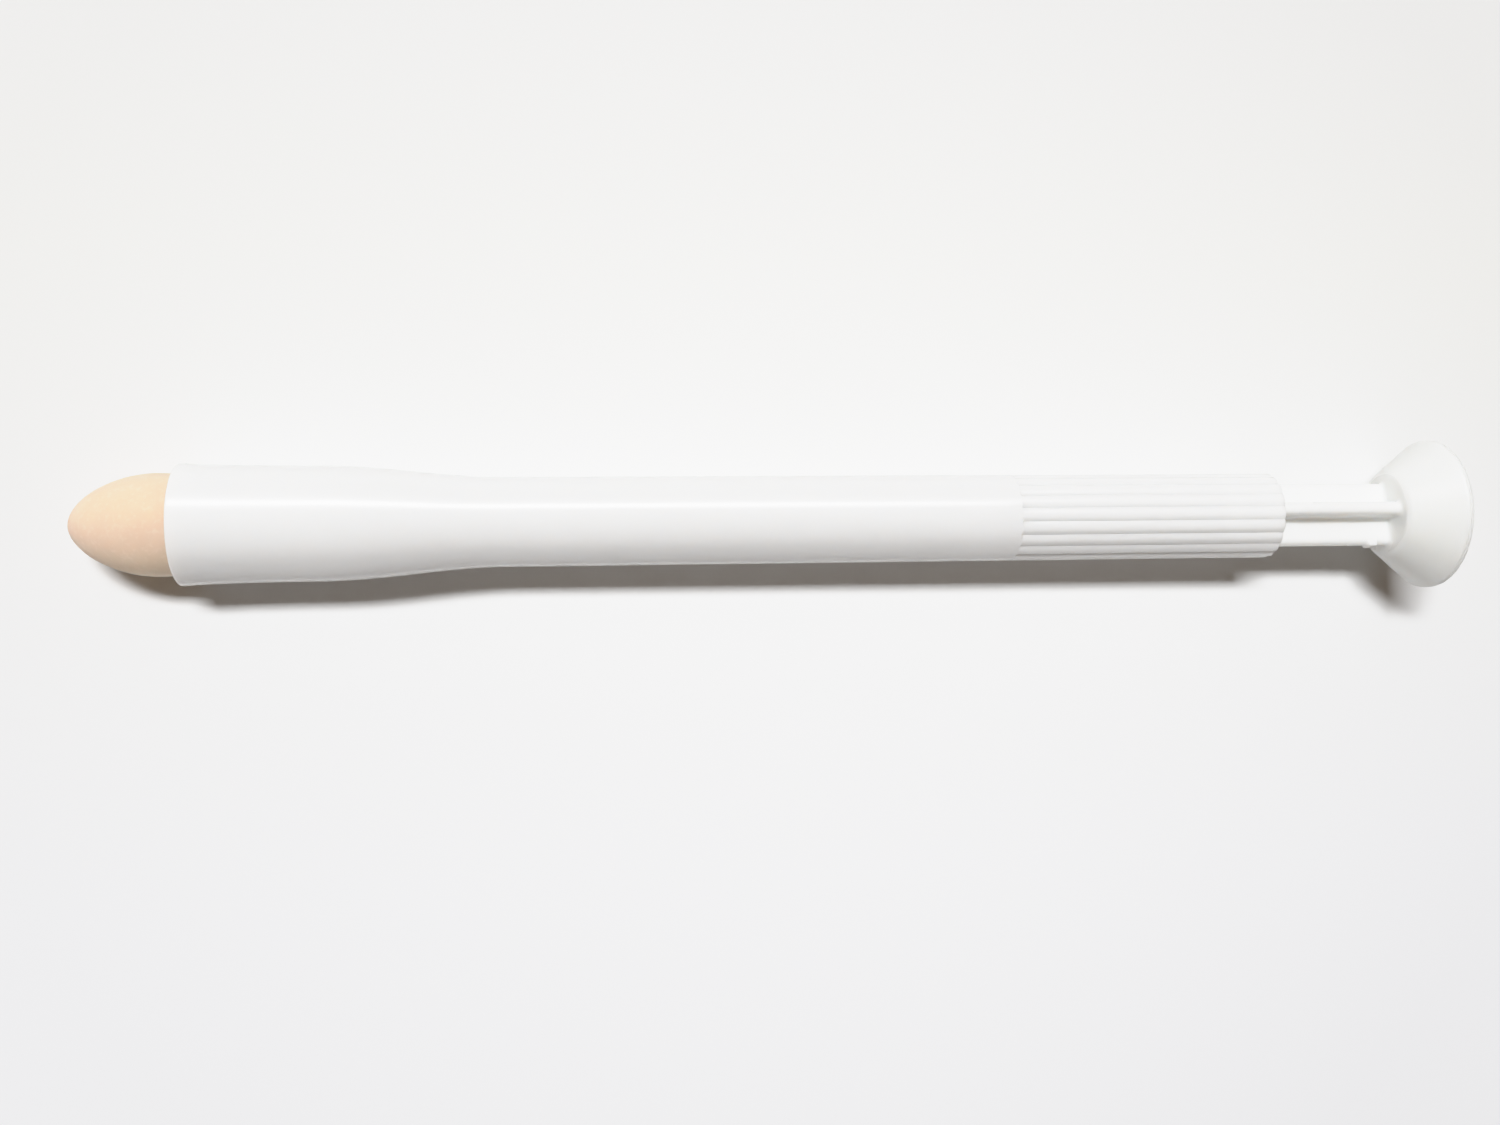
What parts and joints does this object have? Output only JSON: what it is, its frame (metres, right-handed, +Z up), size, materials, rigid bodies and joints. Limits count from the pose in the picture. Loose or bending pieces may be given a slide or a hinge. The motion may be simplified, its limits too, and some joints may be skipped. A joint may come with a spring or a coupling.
{
  "type": "plunger applicator",
  "caption": "Slim white moulded tube with a flared mouth holding a bullet-shaped waxy insert, a reeded grip, and a cross-ribbed plunger with a thumb knob.",
  "frame": {"origin": "centre of the whole tool's bounding box, which is on the tool's axis", "axes": "+X along the tool's axis from the insert's tip to the thumb knob, +Z up as the tool lies, seen from above in the picture"},
  "size_m": [0.1486, 0.0168, 0.0168],
  "materials": {
    "barrel_plastic": "satin white injection-moulded plastic",
    "plunger_plastic": "satin white injection-moulded plastic, the knob a little duller",
    "insert_wax": "peach waxy solid, faintly mottled"
  },
  "bodies": {
    "barrel": {"barrel": "barrel_plastic"},
    "insert": {"insert": "insert_wax"},
    "plunger": {"plunger": "plunger_plastic"}
  },
  "joints": [
    {"name": "insert_slide", "type": "slide", "parent": "barrel", "child": "insert", "axis": [1, 0, 0], "range_m": [-0.0143, 0]},
    {"name": "plunger_slide", "type": "slide", "parent": "insert", "child": "plunger", "axis": [1, 0, 0], "range_m": [0, 0.0944]}
  ]
}
